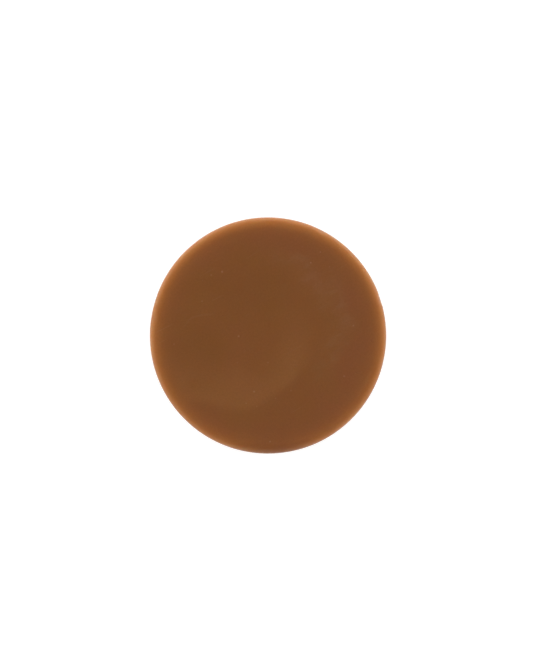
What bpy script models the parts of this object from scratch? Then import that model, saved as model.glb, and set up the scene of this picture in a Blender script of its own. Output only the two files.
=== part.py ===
"""Shaving soap puck: one round casting of glycerine soap.

The soap is poured into a round mould, sets, and is turned out moulded face up.
The mould gives it a flat face, a soft edge and a wall with a little draft. The
poured side lies underneath: it sinks slightly as it cools, so the puck rests on
a flat ring around that hollow.

Units are metres and +Z is up. The origin is the centre of the resting ring.
"""
import math

import bmesh
import bpy

# Driving dimensions
PUCK_DIAMETER = 0.060        # widest, just above the resting side
PUCK_THICKNESS = 0.022
FACE_EDGE_RADIUS = 0.0030    # rounding between the wall and the upper face
BASE_EDGE_RADIUS = 0.0012    # eased edge of the poured side
WALL_DRAFT = math.radians(1.5)   # lean of the wall, so that it leaves the mould
REST_RING_WIDTH = 0.0060     # flat ring under the puck
SINK_DEPTH = 0.00030         # how far the poured side sinks inside the ring

# Smoothness of the turned solid
TURN_STEPS = 96
FACE_EDGE_STEPS = 8
BASE_EDGE_STEPS = 4
SINK_STEPS = 5

MERGE_DISTANCE = 0.00001

# Glycerine soap with a dark brown dye: a warm brown with a satin skin
SOAP_COLOUR = (0.188, 0.070, 0.024, 1.0)
SOAP_ROUGHNESS = 0.42
SOAP_IOR = 1.47


def clear_scene():
    for old in list(bpy.data.objects):
        bpy.data.objects.remove(old)


def arc_points(centre, radius, start, end, steps):
    """Points on an arc in the (r, z) plane, both ends included."""
    for step in range(steps + 1):
        angle = start + (end - start) * step / steps
        yield centre[0] + radius * math.cos(angle), centre[1] + radius * math.sin(angle)


def face_edge_centre():
    """Centre of the upper rounding, where its arc meets the drafted wall and the face."""
    base_x = PUCK_DIAMETER / 2 - BASE_EDGE_RADIUS
    z = PUCK_THICKNESS - FACE_EDGE_RADIUS
    # The wall is the line x cos(draft) + z sin(draft) = reach, tangent to both edge arcs.
    reach = (base_x * math.cos(WALL_DRAFT) + BASE_EDGE_RADIUS * math.sin(WALL_DRAFT)
             + BASE_EDGE_RADIUS)
    x = (reach - FACE_EDGE_RADIUS - z * math.sin(WALL_DRAFT)) / math.cos(WALL_DRAFT)
    return x, z


def sink_points():
    """The sunk middle of the poured side, from the ring's inner edge in to the axis."""
    ring_inner = PUCK_DIAMETER / 2 - BASE_EDGE_RADIUS - REST_RING_WIDTH
    for step in range(SINK_STEPS + 1):
        share = 1 - step / SINK_STEPS
        yield ring_inner * share, SINK_DEPTH * (1 - share * share)


def puck_profile():
    """Half section of the puck as (r, z) points, from the face's centre down the outside."""
    base_centre = (PUCK_DIAMETER / 2 - BASE_EDGE_RADIUS, BASE_EDGE_RADIUS)
    points = [(0.0, PUCK_THICKNESS)]
    points += arc_points(face_edge_centre(), FACE_EDGE_RADIUS,
                         math.radians(90), WALL_DRAFT, FACE_EDGE_STEPS)
    points += arc_points(base_centre, BASE_EDGE_RADIUS, WALL_DRAFT, 0.0, 1)
    points += list(arc_points(base_centre, BASE_EDGE_RADIUS,
                              0.0, math.radians(-90), BASE_EDGE_STEPS))[1:]
    points += sink_points()
    return points


def soap_material():
    material = bpy.data.materials.new("glycerine_soap")
    material.use_nodes = True
    shader = material.node_tree.nodes["Principled BSDF"]
    shader.inputs["Base Color"].default_value = SOAP_COLOUR
    shader.inputs["Metallic"].default_value = 0.0
    shader.inputs["Roughness"].default_value = SOAP_ROUGHNESS
    shader.inputs["IOR"].default_value = SOAP_IOR
    return material


def build_soap_puck():
    """Turn the half section once round +Z into a closed solid."""
    mesh = bpy.data.meshes.new("soap_puck")
    bm = bmesh.new()
    section = [bm.verts.new((r, 0.0, z)) for r, z in puck_profile()]
    edges = [bm.edges.new(pair) for pair in zip(section, section[1:])]
    bmesh.ops.spin(bm, geom=section + edges, cent=(0, 0, 0), axis=(0, 0, 1),
                   angle=math.tau, steps=TURN_STEPS, use_merge=True)
    bmesh.ops.remove_doubles(bm, verts=bm.verts, dist=MERGE_DISTANCE)
    bmesh.ops.recalc_face_normals(bm, faces=bm.faces)
    bm.to_mesh(mesh)
    bm.free()
    mesh.shade_smooth()
    mesh.set_sharp_from_angle(angle=math.radians(40))
    mesh.materials.append(soap_material())
    puck = bpy.data.objects.new("soap_puck", mesh)
    bpy.context.scene.collection.objects.link(puck)
    return puck


clear_scene()
build_soap_puck()
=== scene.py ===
"""Shaving soap puck: the finished look of a puck of cast glycerine soap.

A melt-and-pour soap puck, poured into a round mould, set, and turned out with
its moulded face up. The script models the casting again, finely enough for its
bubbles and knocks, gives it its soap, and stands it on a white lit table.

Laid out as an add-on and run as a script. Units are metres and +Z is up.
"""
import math
import random

import bmesh
import bpy
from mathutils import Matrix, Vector, noise
from mathutils.kdtree import KDTree


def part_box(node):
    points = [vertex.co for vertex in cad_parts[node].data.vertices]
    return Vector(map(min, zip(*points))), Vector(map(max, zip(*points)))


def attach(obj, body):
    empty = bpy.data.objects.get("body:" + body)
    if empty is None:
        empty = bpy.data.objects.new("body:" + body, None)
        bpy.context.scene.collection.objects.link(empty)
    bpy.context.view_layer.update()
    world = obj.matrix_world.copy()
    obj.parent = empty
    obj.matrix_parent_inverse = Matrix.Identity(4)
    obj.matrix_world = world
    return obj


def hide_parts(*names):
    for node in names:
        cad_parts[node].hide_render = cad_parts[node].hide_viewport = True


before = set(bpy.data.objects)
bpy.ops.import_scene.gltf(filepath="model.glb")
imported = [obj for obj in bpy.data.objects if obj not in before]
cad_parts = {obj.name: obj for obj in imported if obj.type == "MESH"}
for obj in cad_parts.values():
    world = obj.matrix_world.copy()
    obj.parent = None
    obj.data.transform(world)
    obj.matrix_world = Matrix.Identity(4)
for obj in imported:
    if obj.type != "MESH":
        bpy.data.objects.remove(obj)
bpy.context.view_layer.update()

bl_info = {
    "name": "Shaving soap puck",
    "version": (1, 0, 0),
    "blender": (4, 5, 0),
    "location": "View3D > Sidebar > Soap",
    "description": "Casts a puck of glycerine shaving soap and lights it on a white table",
    "category": "Object",
}

PUCK_LOW, PUCK_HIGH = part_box("soap_puck")
PUCK_RADIUS = (PUCK_HIGH.x - PUCK_LOW.x) / 2
PUCK_THICKNESS = PUCK_HIGH.z - PUCK_LOW.z
MM = 0.001
FACE = PUCK_THICKNESS / MM                     # height of the moulded face in millimetres
SOFT = {"interpolation_type": "SMOOTHSTEP"}    # for a Map Range with soft ends

# Steps along each stretch of the half section, from the face's centre down the outside.
FACE_STEPS = 48
UPPER_EDGE_STEPS = 16
WALL_STEPS = 30
LOWER_EDGE_STEPS = 8
RING_STEPS = 8
SINK_STEPS = 36
MERGE_DISTANCE = 0.002 * MM
FINEST_EDGE = 0.08 * MM     # an edge this short is not cut again round a bubble pit
PIT_MARGINS = (0.45 * MM, 0.12 * MM)    # how far round a pit each of the two refinements reaches

# Knocks on the rounded edge: direction in degrees, how far round the rounding from the face (0)
# to the wall (1), then radius and depth in millimetres.
EDGE_KNOCKS = (
    (156, 0.12, 0.9, 0.16), (171, 0.55, 1.7, 0.14), (302, 0.40, 2.2, 0.18), (63, 0.70, 1.5, 0.13),
    (228, 0.30, 1.2, 0.12), (18, 0.85, 1.9, 0.14),
)

# The painted glow of the edge: a distance down the wall counts for less than one across the face,
# and the outermost rim has a painted glow of its own, a ring just under the corner.
WALL_SHARE = 0.7
RIM_DROP = 1.2 * MM
RIM_REACH = 0.8 * MM

# The stage, with directions in degrees from +X.
LIGHT_SIDE = 100            # the stronger light: behind, a little to the left
SOFTBOX_DIRECTIONS = range(-43, 228, 45)    # a ring round the puck, open at the front
SOFTBOX_DISTANCE = 0.6
SOFTBOX_SIZE = 0.25
TABLE_SIZE = 8.0
CAMERA_OFFSET = (-0.38 * MM, 0.62 * MM)     # a hair off the puck's axis


def hex_colour(code):
    """Linear RGBA of an sRGB hex colour."""
    channels = [int(code[i:i + 2], 16) / 255 for i in (1, 3, 5)]
    return [c / 12.92 if c <= 0.04045 else ((c + 0.055) / 1.055) ** 2.4 for c in channels] + [1.0]


class SoapCastingSettings(bpy.types.PropertyGroup):
    """Shape of the casting."""
    face_edge_radius: bpy.props.FloatProperty(
        name="Face edge radius", description="Rounding between the wall and the upper face",
        default=3.0 * MM, min=0.5 * MM, unit="LENGTH")
    base_edge_radius: bpy.props.FloatProperty(
        name="Base edge radius", description="Eased edge of the poured side",
        default=1.2 * MM, min=0.2 * MM, unit="LENGTH")
    wall_draft: bpy.props.FloatProperty(
        name="Wall draft", description="Lean of the wall, so that it leaves the mould",
        default=math.radians(1.5), subtype="ANGLE")
    rest_ring_width: bpy.props.FloatProperty(
        name="Resting ring", description="Width of the flat ring under the puck",
        default=6.0 * MM, unit="LENGTH")
    sink_depth: bpy.props.FloatProperty(
        name="Sink", description="How far the poured side sinks inside the ring",
        default=0.3 * MM, unit="LENGTH")
    turn_steps: bpy.props.IntProperty(
        name="Turn steps", description="Segments around the puck", default=320, min=32)
    relief_height: bpy.props.FloatProperty(
        name="Relief", description="Height of the soft unevenness left as the soap shrinks",
        default=0.05 * MM, unit="LENGTH")
    relief_span: bpy.props.FloatProperty(
        name="Relief span", description="Distance from one soft high spot to the next",
        default=15.0 * MM, unit="LENGTH")
    face_pinholes: bpy.props.IntProperty(
        name="Face pinholes", description="Small bubbles caught in the moulded face", default=18)
    wall_pinholes: bpy.props.IntProperty(
        name="Wall pinholes", description="Small bubbles that stuck to the mould's wall", default=46)
    base_bubbles: bpy.props.IntProperty(
        name="Base bubbles", description="Bubbles that burst on the poured side", default=80)


class SoapLookSettings(bpy.types.PropertyGroup):
    """Colour and finish of the soap, with the painted glow of its edges."""
    body_colour: bpy.props.FloatVectorProperty(
        name="Body colour", description="Colour of the soap where it is thick",
        subtype="COLOR", size=4, default=hex_colour("#7F5027"))
    # Painted glow: light passing through a thin edge, painted into the base colour as amber.
    painted_edge_glow_colour: bpy.props.FloatVectorProperty(
        name="Edge colour", description="Colour of the soap at an edge, where light passes through",
        subtype="COLOR", size=4, default=hex_colour("#D6883D"))
    # Painted glow: the yellower light that leaves the outermost rim, painted into the base colour.
    painted_rim_glow_colour: bpy.props.FloatVectorProperty(
        name="Rim colour", description="Colour of the light that leaves the outermost rim, yellower",
        subtype="COLOR", size=4, default=hex_colour("#AD951D"))
    clear_colour: bpy.props.FloatVectorProperty(
        name="Clear colour", description="Colour of the soap where it is clearest and looks deepest",
        subtype="COLOR", size=4, default=hex_colour("#734920"))
    cloud_colour: bpy.props.FloatVectorProperty(
        name="Cloud colour", description="Colour of the soap where it set a little cloudy",
        subtype="COLOR", size=4, default=hex_colour("#824E2F"))
    film_colour: bpy.props.FloatVectorProperty(
        name="Film colour", description="Colour of the dried film of glycerine on the face",
        subtype="COLOR", size=4, default=hex_colour("#9E6F42"))
    bloom_colour: bpy.props.FloatVectorProperty(
        name="Bloom colour", description="Colour of the fine white bloom on the face",
        subtype="COLOR", size=4, default=hex_colour("#A18A70"))
    froth_colour: bpy.props.FloatVectorProperty(
        name="Froth colour", description="Colour of tiny bubbles caught under the skin",
        subtype="COLOR", size=4, default=hex_colour("#C2A088"))
    # Reach of the painted edge glow.
    edge_reach: bpy.props.FloatProperty(
        name="Edge reach", description="Distance over which the edge colour fades by two thirds",
        default=1.4 * MM, unit="LENGTH")
    glow_depth: bpy.props.FloatProperty(
        name="Glow depth", description="How far red light wanders inside the soap",
        default=2.6 * MM, unit="LENGTH")
    glow_green: bpy.props.FloatProperty(
        name="Green glow", description="Green light's share of the glow depth", default=0.74)
    glow_blue: bpy.props.FloatProperty(
        name="Blue glow", description="Blue light's share of the glow depth", default=0.42)
    roughness: bpy.props.FloatProperty(
        name="Roughness", description="Satin skin of moulded soap", default=0.40)
    gloss_level: bpy.props.FloatProperty(
        name="Gloss level", description="Strength of the skin's reflection", default=0.27)
    skin_depth: bpy.props.FloatProperty(
        name="Skin depth", description="Height of the fine grain in the soap's skin",
        default=0.006 * MM, unit="LENGTH")


class SoapStageSettings(bpy.types.PropertyGroup):
    """Camera, table and light."""
    lens: bpy.props.FloatProperty(name="Lens", description="Focal length", default=100.0, unit="CAMERA")
    camera_height: bpy.props.FloatProperty(
        name="Camera height", description="Camera's height above the table",
        default=0.481, unit="LENGTH")
    table_glow: bpy.props.FloatProperty(
        name="Table glow", description="How white the lit table looks of itself", default=0.77)
    table_front: bpy.props.FloatProperty(
        name="Table light, front", description="Light that the table throws on the puck from the front",
        default=0.56)
    table_back: bpy.props.FloatProperty(
        name="Table light, back", description="Light that the table throws on the puck from behind",
        default=1.0)
    table_white: bpy.props.FloatProperty(
        name="Table white", description="Share of light that the table sends back", default=0.4)
    sky_top: bpy.props.FloatProperty(
        name="Light overhead", description="Brightness of the room straight up", default=0.2)
    sky_side: bpy.props.FloatProperty(
        name="Light at the sides", description="Brightness of the room at the horizon", default=0.45)
    ring_power: bpy.props.FloatProperty(
        name="Ring power", description="Power of each softbox in the ring", default=0.9, unit="POWER")
    ring_lean: bpy.props.FloatProperty(
        name="Ring lean", description="How much stronger the ring is behind on the left", default=0.12)
    ring_height: bpy.props.FloatProperty(
        name="Ring height", description="Elevation of the softboxes", default=math.radians(29),
        subtype="ANGLE")


def add_node(tree, kind, sockets=None, **settings):
    """Add a node, set its settings, and set or link its input sockets.

    An input takes a plain value, another node's output, or another node for its first live output.
    """
    node = tree.nodes.new(kind)
    for name, value in settings.items():
        setattr(node, name, value)
    for key, value in (sockets or {}).items():
        if isinstance(value, bpy.types.Node):
            value = next(output for output in value.outputs if output.enabled)
        if isinstance(value, bpy.types.NodeSocket):
            tree.links.new(value, node.inputs[key])
        else:
            node.inputs[key].default_value = value
    return node


def arc_points(centre, radius, start, end, steps):
    """Points on an arc in the (r, z) plane, both ends included."""
    for step in range(steps + 1):
        angle = start + (end - start) * step / steps
        yield centre[0] + radius * math.cos(angle), centre[1] + radius * math.sin(angle)


def wall_radius(sizes, height):
    """Radius of the drafted wall at a height; the wall is a line tangent to both edge roundings."""
    draft = sizes.wall_draft
    base_x = PUCK_RADIUS - sizes.base_edge_radius
    reach = base_x * math.cos(draft) + sizes.base_edge_radius * (math.sin(draft) + 1)
    return (reach - height * math.sin(draft)) / math.cos(draft)


def face_edge_centre(sizes):
    """Centre of the upper rounding, as (r, z)."""
    height = PUCK_THICKNESS - sizes.face_edge_radius
    return wall_radius(sizes, height) - sizes.face_edge_radius / math.cos(sizes.wall_draft), height


def casting_section(sizes):
    """Half section of the puck as (r, z) points, from the face's centre down the outside."""
    centre = face_edge_centre(sizes)
    base_x = PUCK_RADIUS - sizes.base_edge_radius
    face = [(centre[0] * i / FACE_STEPS, PUCK_THICKNESS) for i in range(FACE_STEPS)]
    upper = list(arc_points(centre, sizes.face_edge_radius,
                            math.pi / 2, sizes.wall_draft, UPPER_EDGE_STEPS))
    lower = list(arc_points((base_x, sizes.base_edge_radius), sizes.base_edge_radius,
                            sizes.wall_draft, -math.pi / 2, LOWER_EDGE_STEPS))
    top, bottom = upper[-1][1], lower[0][1]
    heights = [top + (bottom - top) * i / WALL_STEPS for i in range(1, WALL_STEPS)]
    wall = [(wall_radius(sizes, height), height) for height in heights]
    ring = [(base_x - sizes.rest_ring_width * i / RING_STEPS, 0.0) for i in range(1, RING_STEPS)]
    ring_inner = base_x - sizes.rest_ring_width
    shares = [1 - i / SINK_STEPS for i in range(SINK_STEPS + 1)]
    sink = [(ring_inner * share, sizes.sink_depth * (1 - share ** 2)) for share in shares]
    return face + upper + wall + lower + ring + sink


def polar(radius, degrees, height):
    """Point at a radius and direction round +Z, and a height."""
    angle = math.radians(degrees)
    return Vector((radius * math.cos(angle), radius * math.sin(angle), height))


def edge_knocks(sizes):
    """Shallow dents on the upper rounding, as (place, radius, depth)."""
    centre_r, centre_z = face_edge_centre(sizes)
    for degrees, share, radius, depth in EDGE_KNOCKS:
        lean = share * math.pi / 2
        yield (polar(centre_r + sizes.face_edge_radius * math.sin(lean), degrees,
                     centre_z + sizes.face_edge_radius * math.cos(lean)),
               radius * MM, depth * MM)


def pinholes(sizes):
    """Bubble pits as (place, radius, depth): few in the face, more low on the wall, most underneath.

    The face sets against the mould's floor and the poured side is uppermost, so bubbles
    rise away from the face and gather at the poured side, in loose clusters.
    """
    scatter = random.Random(3)
    for _ in range(sizes.face_pinholes):
        distance = 26.5 * scatter.random() ** 0.5 * MM
        radius = scatter.uniform(0.12, 0.20) * MM
        yield polar(distance, scatter.uniform(0, 360), PUCK_THICKNESS), radius, radius * 0.7
    draw = random.Random(7)
    for _ in range(sizes.wall_pinholes):
        height = (2.4 + 15.5 * draw.random() ** 1.7) * MM
        radius = draw.uniform(0.13, 0.30) * MM
        yield polar(wall_radius(sizes, height), draw.uniform(0, 360), height), radius, radius * 0.7
    clusters = [(draw.uniform(3, 24), draw.uniform(0, 360)) for _ in range(9)]
    for index in range(sizes.base_bubbles):
        distance, degrees = clusters[index % len(clusters)]
        place = polar(distance * MM, degrees, 0) + Vector((draw.gauss(0, 2.2), draw.gauss(0, 2.2), 0)) * MM
        inside = min(1, 24.5 * MM / max(place.length, 0.001 * MM))
        radius = min(0.9, 0.2 + draw.expovariate(5)) * MM
        yield place * inside, radius, radius * 0.5


def press_marks(bm, marks, margins):
    """Refine the skin around each mark, once for each margin, and press the mark in."""
    marks = list(marks)
    centres = KDTree(len(marks))
    for index, mark in enumerate(marks):
        centres.insert(mark[0], index)
    centres.balance()
    for margin in margins:
        for vert in bm.verts:
            _, index, distance = centres.find(vert.co)
            vert.tag = distance < marks[index][1] + margin
        edges = [edge for edge in bm.edges
                 if (edge.verts[0].tag or edge.verts[1].tag) and edge.calc_length() > FINEST_EDGE]
        bmesh.ops.subdivide_edges(bm, edges=edges, cuts=2, use_grid_fill=True)
    bm.normal_update()
    widest = max(mark[1] for mark in marks)
    for vert in bm.verts:
        depths = [0.0]
        for _, index, distance in centres.find_range(vert.co, widest):
            radius, depth = marks[index][1:]
            if distance < radius:
                depths.append(depth * (1 - (distance / radius) ** 2) ** 1.5)
        vert.co -= vert.normal * max(depths)


def settle_relief(bm, sizes):
    """Let the skin sag softly and unevenly, always inward; the poured side a little more."""
    bm.normal_update()
    for vert in bm.verts:
        sag = 0.5 + 0.5 * noise.noise(vert.co / sizes.relief_span)
        if vert.co.z < 0.5 * MM:
            ripple = noise.noise(vert.co / (3.2 * MM), noise_basis="PERLIN_NEW")
            sag += 0.6 * max(0.0, ripple) * min(1.0, vert.co.z / (0.1 * MM))
        vert.co -= vert.normal * sag * sizes.relief_height


def turned(section, steps):
    """Turn a half section once round +Z into a closed skin with its faces pointing out."""
    bm = bmesh.new()
    verts = [bm.verts.new((r, 0.0, z)) for r, z in section]
    edges = [bm.edges.new(pair) for pair in zip(verts, verts[1:])]
    bmesh.ops.spin(bm, geom=verts + edges, cent=(0, 0, 0), axis=(0, 0, 1),
                   angle=math.tau, steps=steps, use_merge=True)
    bmesh.ops.remove_doubles(bm, verts=bm.verts, dist=MERGE_DISTANCE)
    bmesh.ops.recalc_face_normals(bm, faces=bm.faces)
    return bm


def edge_nearness(tree, place, corner_height, reach):
    """1 at an edge ring of the puck, falling by two thirds with each reach away from it."""
    axes = add_node(tree, "ShaderNodeSeparateXYZ", {0: place})
    flat = add_node(tree, "ShaderNodeCombineXYZ", {"X": axes.outputs["X"], "Y": axes.outputs["Y"]})
    radius = add_node(tree, "ShaderNodeVectorMath", {0: flat}, operation="LENGTH")
    height = add_node(tree, "ShaderNodeMath", {0: axes.outputs["Z"], 1: WALL_SHARE}, operation="MULTIPLY")
    section = add_node(tree, "ShaderNodeCombineXYZ", {"X": radius, "Z": height})
    away = add_node(tree, "ShaderNodeVectorMath", {
        0: section, 1: (PUCK_RADIUS, 0, WALL_SHARE * corner_height)}, operation="DISTANCE")
    reaches = add_node(tree, "ShaderNodeMath", {0: away, 1: -reach}, operation="DIVIDE")
    return add_node(tree, "ShaderNodeMath", {0: reaches}, operation="EXPONENT")


def within_patch(tree, place, centre, radii, turn=0.0):
    """Place in units of a patch's radii from its centre (both in mm), and its distance: 1 at the rim."""
    inside = add_node(tree, "ShaderNodeMapping", {
        "Vector": place, "Location": Vector(centre) * MM, "Scale": Vector(radii) * MM,
        "Rotation": (0, 0, turn)}, vector_type="TEXTURE")
    return inside, add_node(tree, "ShaderNodeVectorMath", {0: inside}, operation="LENGTH")


def painted_front_shade(tree, place):
    """How much of the painted edge glow is left: painted shade at the front of the rim, where less light
    reaches it, holds the glow back.
    """
    _, distance = within_patch(tree, place, (2.5, -29.9, FACE), (17, 8, 8))
    return add_node(tree, "ShaderNodeMapRange", {
        "Value": distance, "From Max": 1.0, "To Min": 0.12}, **SOFT)


def cloudiness(tree, place, drift, below):
    """How cloudily the soap set: soft clouds about 11 mm across, more near the mould's wall."""
    clouds = add_node(tree, "ShaderNodeTexNoise", {
        "Vector": place, "Scale": 1 / (11 * MM), "Detail": 4, "Roughness": 0.6})
    thick = add_node(tree, "ShaderNodeMapRange", {"Value": below, "To Min": 0.3, "To Max": 0.5})
    clouds = add_node(tree, "ShaderNodeMapRange", {
        "Value": clouds, "From Min": 0.3, "From Max": 0.7, "To Max": thick}, **SOFT)
    _, distance = within_patch(tree, drift, (-4, 0, FACE), (24, 24, 60))
    outer = add_node(tree, "ShaderNodeMapRange", {
        "Value": distance, "From Min": 0.7, "From Max": 1.15, "To Max": 0.38}, **SOFT)
    return add_node(tree, "ShaderNodeMath", {0: clouds, 1: outer}, operation="ADD")


def clearness(tree, place, drift, below):
    """Where the eye sees deeper: two pools in the face, behind and left, and veins in the wall."""
    _, behind = within_patch(tree, drift, (-6, 11, FACE), (16, 9, 4))
    _, left = within_patch(tree, drift, (-16, -2, FACE), (10, 9, 4))
    nearest = add_node(tree, "ShaderNodeMath", {0: behind, 1: left}, operation="MINIMUM")
    pool = add_node(tree, "ShaderNodeMapRange", {
        "Value": nearest, "From Min": 0.1, "From Max": 1.2, "To Min": 0.3, "To Max": 0.0}, **SOFT)
    sunk, _ = within_patch(tree, place, (9, -7, 0), (9, 9, 5))
    veins = add_node(tree, "ShaderNodeTexNoise", {
        "Vector": sunk, "Scale": 1.0, "Detail": 4, "Roughness": 0.55, "Distortion": 0.8})
    veins = add_node(tree, "ShaderNodeMapRange", {
        "Value": veins, "From Min": 0.5, "From Max": 0.75, "To Max": 0.6}, **SOFT)
    veins = add_node(tree, "ShaderNodeMath", {0: veins, 1: below}, operation="MULTIPLY")
    return add_node(tree, "ShaderNodeMath", {0: pool, 1: veins}, operation="MAXIMUM")


def tide_line(tree, drift):
    """A film of glycerine dried on the face: it ends in a tide line, sharper on its outer side."""
    inside, distance = within_patch(tree, drift, (-7.5, -2, FACE), (16.5, 13.5, 3), math.radians(14))
    side = add_node(tree, "ShaderNodeVectorMath", {0: inside, 1: (0, -1, 0)}, operation="DOT_PRODUCT")
    front = add_node(tree, "ShaderNodeMapRange", {
        "Value": side, "From Min": -0.2, "From Max": 0.8, "To Min": 0.1}, **SOFT)
    rise = add_node(tree, "ShaderNodeMapRange", {
        "Value": distance, "From Min": 0.25, "From Max": 0.92, "To Min": 0.0, "To Max": front}, **SOFT)
    return add_node(tree, "ShaderNodeMapRange", {
        "Value": distance, "From Min": 0.94, "From Max": 1.2, "To Min": rise, "To Max": 0.0}, **SOFT)


def bloom_crescent(tree, place, drift):
    """Bloom: a crescent of fine crystals on the right of the face, streaked where it was wiped."""
    inside, distance = within_patch(tree, drift, (1.5, 3.5, FACE), (16, 16, 3))
    wiped, _ = within_patch(tree, place, (0, 0, FACE), (5.0, 2.6, 2), math.radians(35))
    streaks = add_node(tree, "ShaderNodeTexNoise", {
        "Vector": wiped, "Scale": 1.0, "Detail": 4, "Roughness": 0.7, "Distortion": 0.6})
    streaks = add_node(tree, "ShaderNodeMapRange", {
        "Value": streaks, "From Min": 0.38, "From Max": 0.72, "To Min": 0.15}, **SOFT)
    side = add_node(tree, "ShaderNodeVectorMath", {0: inside, 1: (0.94, 0.34, 0)},
                    operation="DOT_PRODUCT")
    right = add_node(tree, "ShaderNodeMapRange", {
        "Value": side, "From Min": 0.0, "From Max": 0.8, "To Max": streaks}, **SOFT)
    rise = add_node(tree, "ShaderNodeMapRange", {
        "Value": distance, "From Min": 0.65, "From Max": 0.98, "To Max": right}, **SOFT)
    return add_node(tree, "ShaderNodeMapRange", {
        "Value": distance, "From Min": 1.02, "From Max": 1.3, "To Min": rise, "To Max": 0.0}, **SOFT)


def froth(tree, place):
    """Bubbles 0.2 to 0.7 mm across under the skin: sparse all over, crowded at the poured side."""
    sparse = add_node(tree, "ShaderNodeTexVoronoi", {"Vector": place, "Scale": 1 / (3.2 * MM)})
    reach = add_node(tree, "ShaderNodeMapRange", {
        "Value": sparse.outputs["Color"], "From Min": 0.2, "From Max": 0.8,
        "To Min": 0.04, "To Max": 0.12})
    sparse = add_node(tree, "ShaderNodeMapRange", {
        "Value": sparse, "From Min": 0.02, "From Max": reach, "To Min": 0.2, "To Max": 0.0}, **SOFT)
    gathered = add_node(tree, "ShaderNodeTexNoise", {
        "Vector": place, "Scale": 1 / (7 * MM), "Detail": 2, "Roughness": 0.5})
    gathered = add_node(tree, "ShaderNodeMapRange", {
        "Value": gathered, "From Min": 0.45, "From Max": 0.65, "To Max": 0.35}, **SOFT)
    height = add_node(tree, "ShaderNodeSeparateXYZ", {0: place}).outputs["Z"]
    low = add_node(tree, "ShaderNodeMapRange", {
        "Value": height, "From Min": 0.2 * MM, "From Max": 3.0 * MM,
        "To Min": gathered, "To Max": 0.0}, **SOFT)
    crowded = add_node(tree, "ShaderNodeTexVoronoi", {"Vector": place, "Scale": 1 / (1.0 * MM)})
    reach = add_node(tree, "ShaderNodeMapRange", {
        "Value": crowded.outputs["Color"], "From Min": 0.2, "From Max": 0.8,
        "To Min": 0.08, "To Max": 0.36})
    crowded = add_node(tree, "ShaderNodeMapRange", {
        "Value": crowded, "From Min": 0.05, "From Max": reach, "To Min": low, "To Max": 0.0}, **SOFT)
    return add_node(tree, "ShaderNodeMath", {0: sparse, 1: crowded}, operation="MAXIMUM")


def skin_grain(tree, place):
    """Fine grain in the skin. The real grain is about 0.1 mm across, and it is drawn at 0.5 mm,
    coarse enough to show."""
    return add_node(tree, "ShaderNodeTexNoise", {
        "Vector": place, "Scale": 1 / (0.5 * MM), "Detail": 2, "Roughness": 0.6})


def draw_marks(tree, place):
    """Faint marks that run up the wall, the way the puck left its mould, drawn 0.7 mm apart."""
    drawn, _ = within_patch(tree, place, (0, 0, 0), (0.7, 0.7, 14))
    return add_node(tree, "ShaderNodeTexNoise", {
        "Vector": drawn, "Scale": 1.0, "Detail": 3, "Roughness": 0.6})


def scuffs(tree, place, drift):
    """Hairline scuffs up to 10 mm long from handling, and one longer line from a fingernail."""
    scuffed, _ = within_patch(tree, place, (0, 0, FACE), (10, 0.45, 3), math.radians(28))
    lines = add_node(tree, "ShaderNodeTexNoise", {
        "Vector": scuffed, "Scale": 1.0, "Detail": 1, "Distortion": 0.4})
    lines = add_node(tree, "ShaderNodeMapRange", {
        "Value": lines, "From Min": 0.70, "From Max": 0.80, "To Max": 0.09}, **SOFT)
    _, distance = within_patch(tree, drift, (-17.5, 4.2, FACE), (6.5, 0.4, 1), math.radians(24))
    fingernail = add_node(tree, "ShaderNodeMapRange", {
        "Value": distance, "From Min": 0.1, "From Max": 1.0, "To Min": 0.05, "To Max": 0.0}, **SOFT)
    return add_node(tree, "ShaderNodeMath", {0: lines, 1: fingernail}, operation="MAXIMUM")


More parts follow.
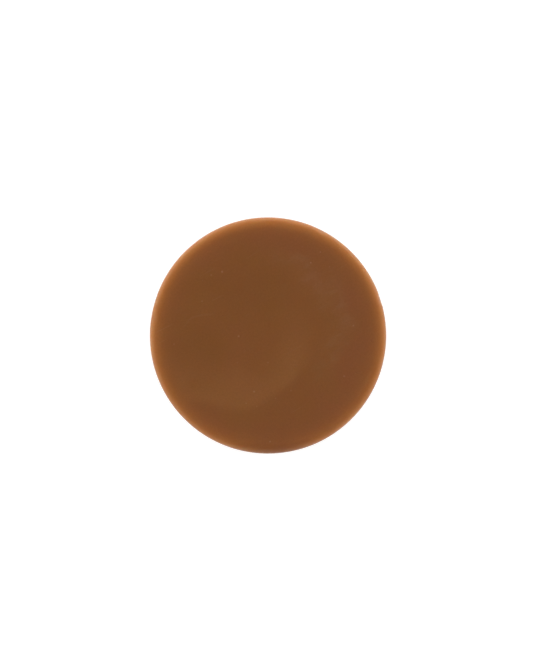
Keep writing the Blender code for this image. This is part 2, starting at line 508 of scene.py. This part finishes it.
def glycerine_soap(look):
    """Melt-and-pour glycerine soap with a brown dye, set in a smooth plastic mould.

    Light enters it and wanders a millimetre or two, so thin edges glow amber and the body looks
    deep and soft; that amber glow at the edges and rim is also painted into the colour, with
    painted shade at the front of the rim. The mould leaves a satin skin; handling and air add a
    film, bloom and scuffs.
    """
    material = bpy.data.materials.new("brown_glycerine_soap")
    material.use_nodes = True
    tree = material.node_tree
    shader = tree.nodes["Principled BSDF"]
    place = add_node(tree, "ShaderNodeTexCoord").outputs["Object"]
    wander = add_node(tree, "ShaderNodeTexNoise", {
        "Vector": place, "Scale": 1 / (12 * MM), "Detail": 1.5, "Roughness": 0.4}, normalize=False)
    # Place, drifting by a few millimetres, so that the patches in the face have uneven outlines
    drift = add_node(tree, "ShaderNodeVectorMath", {
        0: wander.outputs["Color"], 1: (4 * MM, 4 * MM, 0), 2: place}, operation="MULTIPLY_ADD")
    # 0 in the face and 1 down the wall
    height = add_node(tree, "ShaderNodeSeparateXYZ", {0: place}).outputs["Z"]
    below = add_node(tree, "ShaderNodeMapRange", {
        "Value": height, "From Min": PUCK_THICKNESS - 1 * MM, "From Max": PUCK_THICKNESS - 5 * MM},
        **SOFT)

    tide = tide_line(tree, drift)
    bloom = bloom_crescent(tree, place, drift)
    # Painted glow: amber light through the upper and lower edges, painted into the colour.
    painted_edge_glow = add_node(tree, "ShaderNodeMath", {
        0: edge_nearness(tree, place, PUCK_THICKNESS, look.edge_reach),
        1: edge_nearness(tree, place, 0.0, look.edge_reach)}, operation="MAXIMUM", use_clamp=True)
    # Painted shade: the painted edge glow is held back at the front of the rim.
    front = painted_front_shade(tree, place)
    # Painted glow: a yellower ring on the outermost rim, less at the front.
    painted_rim_glow = add_node(tree, "ShaderNodeMath", {
        0: edge_nearness(tree, place, PUCK_THICKNESS - RIM_DROP, RIM_REACH), 1: front},
        operation="MULTIPLY")
    colour = tuple(look.body_colour)
    # The colours mixed in turn; the edge and rim entries are painted glow, held back at the front by
    # painted shade.
    for amount, share, tint in (
            (cloudiness(tree, place, drift, below), 1.0, look.cloud_colour),
            (clearness(tree, place, drift, below), 1.0, look.clear_colour),
            (tide, 0.18, look.film_colour),
            (bloom, 0.10, look.bloom_colour),
            (painted_edge_glow, front, look.painted_edge_glow_colour),
            (painted_rim_glow, 0.15, look.painted_rim_glow_colour),
            (froth(tree, place), 1.0, look.froth_colour),
            (scuffs(tree, place, drift), 1.0, look.bloom_colour)):
        amount = add_node(tree, "ShaderNodeMath", {0: amount, 1: share}, operation="MULTIPLY")
        colour = add_node(tree, "ShaderNodeMix", {"Factor": amount, "A": colour, "B": tuple(tint)},
                          data_type="RGBA")

    grain = skin_grain(tree, place)
    shade = add_node(tree, "ShaderNodeMapRange", {
        "Value": grain, "From Min": 0.25, "From Max": 0.75, "To Min": 0.935, "To Max": 1.065})
    colour = add_node(tree, "ShaderNodeHueSaturation", {"Value": shade, "Color": colour})
    tree.links.new(colour.outputs[0], shader.inputs["Base Color"])

    marks = draw_marks(tree, place)
    satin = add_node(tree, "ShaderNodeMapRange", {
        "Value": marks, "From Min": 0.3, "From Max": 0.7,
        "To Min": look.roughness - 0.08, "To Max": look.roughness + 0.08})
    dried = add_node(tree, "ShaderNodeMath", {0: tide, 1: bloom}, operation="MAXIMUM")
    finish = add_node(tree, "ShaderNodeMath", {0: dried, 1: 0.12, 2: satin}, operation="MULTIPLY_ADD")
    tree.links.new(finish.outputs[0], shader.inputs["Roughness"])

    skin = add_node(tree, "ShaderNodeMath", {0: marks, 1: 0.8, 2: grain}, operation="MULTIPLY_ADD")
    relief = add_node(tree, "ShaderNodeBump", {
        "Height": skin, "Strength": 1.0, "Distance": look.skin_depth})
    tree.links.new(relief.outputs[0], shader.inputs["Normal"])

    shader.inputs["IOR"].default_value = 1.47
    shader.inputs["Specular IOR Level"].default_value = look.gloss_level
    shader.inputs["Subsurface Weight"].default_value = 1.0
    shader.inputs["Subsurface Radius"].default_value = (1.0, look.glow_green, look.glow_blue)
    shader.inputs["Subsurface Scale"].default_value = look.glow_depth
    return material


class SOAP_OT_cast_puck(bpy.types.Operator):
    """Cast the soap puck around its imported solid"""
    bl_idname = "soap.cast_puck"
    bl_label = "Cast the soap puck"

    def execute(self, context):
        sizes = context.scene.soap_casting
        bm = turned(casting_section(sizes), sizes.turn_steps)
        settle_relief(bm, sizes)
        press_marks(bm, edge_knocks(sizes), ())
        press_marks(bm, pinholes(sizes), PIT_MARGINS)
        mesh = bpy.data.meshes.new("soap_puck_casting")
        bm.to_mesh(mesh)
        bm.free()
        mesh.shade_smooth()
        puck = bpy.data.objects.new("soap_puck_casting", mesh)
        context.scene.collection.objects.link(puck)
        mesh.materials.append(glycerine_soap(context.scene.soap_look))
        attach(puck, "root")
        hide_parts("soap_puck")
        return {"FINISHED"}


def lit_table(stage):
    """Translucent white acrylic with a satin top, lit from below, and dark where the puck covers it.

    It looks evenly white. The light it throws on the puck is set apart, stronger from behind.
    """
    material = bpy.data.materials.new("lit_acrylic_table")
    material.use_nodes = True
    tree = material.node_tree
    shader = tree.nodes["Principled BSDF"]
    white = stage.table_white
    shader.inputs["Base Color"].default_value = (white, white, white, 1)
    shader.inputs["Roughness"].default_value = 0.3
    shader.inputs["IOR"].default_value = 1.45
    shader.inputs["Emission Color"].default_value = (1, 1, 1, 1)
    place = add_node(tree, "ShaderNodeTexCoord").outputs["Object"]
    away = add_node(tree, "ShaderNodeVectorMath", {0: place}, operation="LENGTH")
    seen = add_node(tree, "ShaderNodeMapRange", {
        "Value": away, "From Min": 0.08, "From Max": 0.30,
        "To Min": stage.table_glow, "To Max": 1.05}, **SOFT)
    behind = add_node(tree, "ShaderNodeVectorMath", {0: place, 1: polar(1, LIGHT_SIDE, 0)},
                      operation="DOT_PRODUCT")
    cast = add_node(tree, "ShaderNodeMapRange", {
        "Value": behind, "From Min": -0.05, "From Max": 0.05,
        "To Min": stage.table_front, "To Max": stage.table_back}, **SOFT)
    path = add_node(tree, "ShaderNodeLightPath")
    glow = add_node(tree, "ShaderNodeMix", {
        "Factor": path.outputs["Is Camera Ray"], "A": cast, "B": seen})
    uncovered = add_node(tree, "ShaderNodeMapRange", {
        "Value": away, "From Min": PUCK_RADIUS - 0.5 * MM, "From Max": PUCK_RADIUS + 0.2 * MM,
        "To Max": glow}, **SOFT)
    tree.links.new(uncovered.outputs[0], shader.inputs["Emission Strength"])
    return material


def studio_world(stage):
    """A plain room: white to the camera, and dimmer overhead than at the sides for its light."""
    world = bpy.data.worlds.new("studio")
    bpy.context.scene.world = world
    world.use_nodes = True
    tree = world.node_tree
    tree.nodes.clear()
    coordinates = add_node(tree, "ShaderNodeTexCoord")
    axes = add_node(tree, "ShaderNodeSeparateXYZ", {0: coordinates.outputs["Generated"]})
    height = add_node(tree, "ShaderNodeMapRange", {
        "Value": axes.outputs["Z"], "From Min": 0.0, "From Max": 0.8,
        "To Min": stage.sky_side, "To Max": stage.sky_top}, **SOFT)
    light = add_node(tree, "ShaderNodeBackground", {
        "Color": (1, 1, 1, 1), "Strength": height.outputs[0]})
    seen = add_node(tree, "ShaderNodeBackground", {"Color": (1, 1, 1, 1), "Strength": 1.0})
    path = add_node(tree, "ShaderNodeLightPath")
    mix = add_node(tree, "ShaderNodeMixShader", {
        0: path.outputs["Is Camera Ray"], 1: light.outputs[0], 2: seen.outputs[0]})
    add_node(tree, "ShaderNodeOutputWorld", {"Surface": mix.outputs[0]})


def softbox(name, azimuth, elevation, power):
    """A square softbox aimed at the puck. Neither the camera nor a reflection shows it."""
    lamp = bpy.data.lights.new(name, "AREA")
    lamp.size = SOFTBOX_SIZE
    lamp.energy = power
    holder = bpy.data.objects.new(name, lamp)
    away = Vector((math.cos(azimuth) * math.cos(elevation),
                   math.sin(azimuth) * math.cos(elevation), math.sin(elevation)))
    holder.location = away * SOFTBOX_DISTANCE
    holder.rotation_euler = away.to_track_quat("Z", "Y").to_euler()
    holder.visible_camera = False
    holder.visible_glossy = False
    bpy.context.scene.collection.objects.link(holder)


class SOAP_OT_set_stage(bpy.types.Operator):
    """Set the white lit table, the studio light and the camera"""
    bl_idname = "soap.set_stage"
    bl_label = "Set the stage"

    def execute(self, context):
        scene = context.scene
        stage = scene.soap_stage
        bpy.ops.mesh.primitive_plane_add(size=TABLE_SIZE)
        floor = context.active_object
        floor.name = "table"
        floor.data.materials.append(lit_table(stage))
        studio_world(stage)
        for azimuth in SOFTBOX_DIRECTIONS:
            lean = 1 + stage.ring_lean * math.cos(math.radians(azimuth - LIGHT_SIDE))
            softbox(f"softbox_{azimuth % 360}", math.radians(azimuth), stage.ring_height,
                    stage.ring_power * lean)
        camera = bpy.data.cameras.new("camera")
        camera.lens = stage.lens
        viewer = bpy.data.objects.new("camera", camera)
        viewer.location = (*CAMERA_OFFSET, stage.camera_height)
        scene.collection.objects.link(viewer)
        scene.camera = viewer
        camera.clip_start = 0.01
        camera.clip_end = 10
        scene.view_settings.view_transform = "Standard"
        return {"FINISHED"}


class SOAP_PT_puck(bpy.types.Panel):
    """Soap puck tools"""
    bl_label = "Soap puck"
    bl_space_type = "VIEW_3D"
    bl_region_type = "UI"
    bl_category = "Soap"

    def draw(self, context):
        for step in STEPS:
            self.layout.operator(step.bl_idname)


STEPS = (SOAP_OT_cast_puck, SOAP_OT_set_stage)
SETTINGS = {"soap_casting": SoapCastingSettings, "soap_look": SoapLookSettings,
            "soap_stage": SoapStageSettings}


def register():
    for settings in SETTINGS.values():
        bpy.utils.register_class(settings)
    for name, settings in SETTINGS.items():
        setattr(bpy.types.Scene, name, bpy.props.PointerProperty(type=settings))
    for step in STEPS:
        bpy.utils.register_class(step)
    bpy.utils.register_class(SOAP_PT_puck)


def unregister():
    bpy.utils.unregister_class(SOAP_PT_puck)
    for step in reversed(STEPS):
        bpy.utils.unregister_class(step)
    for name, settings in SETTINGS.items():
        delattr(bpy.types.Scene, name)
        bpy.utils.unregister_class(settings)


def main():
    register()
    bpy.ops.soap.cast_puck()
    bpy.ops.soap.set_stage()


if __name__ == "__main__":
    main()
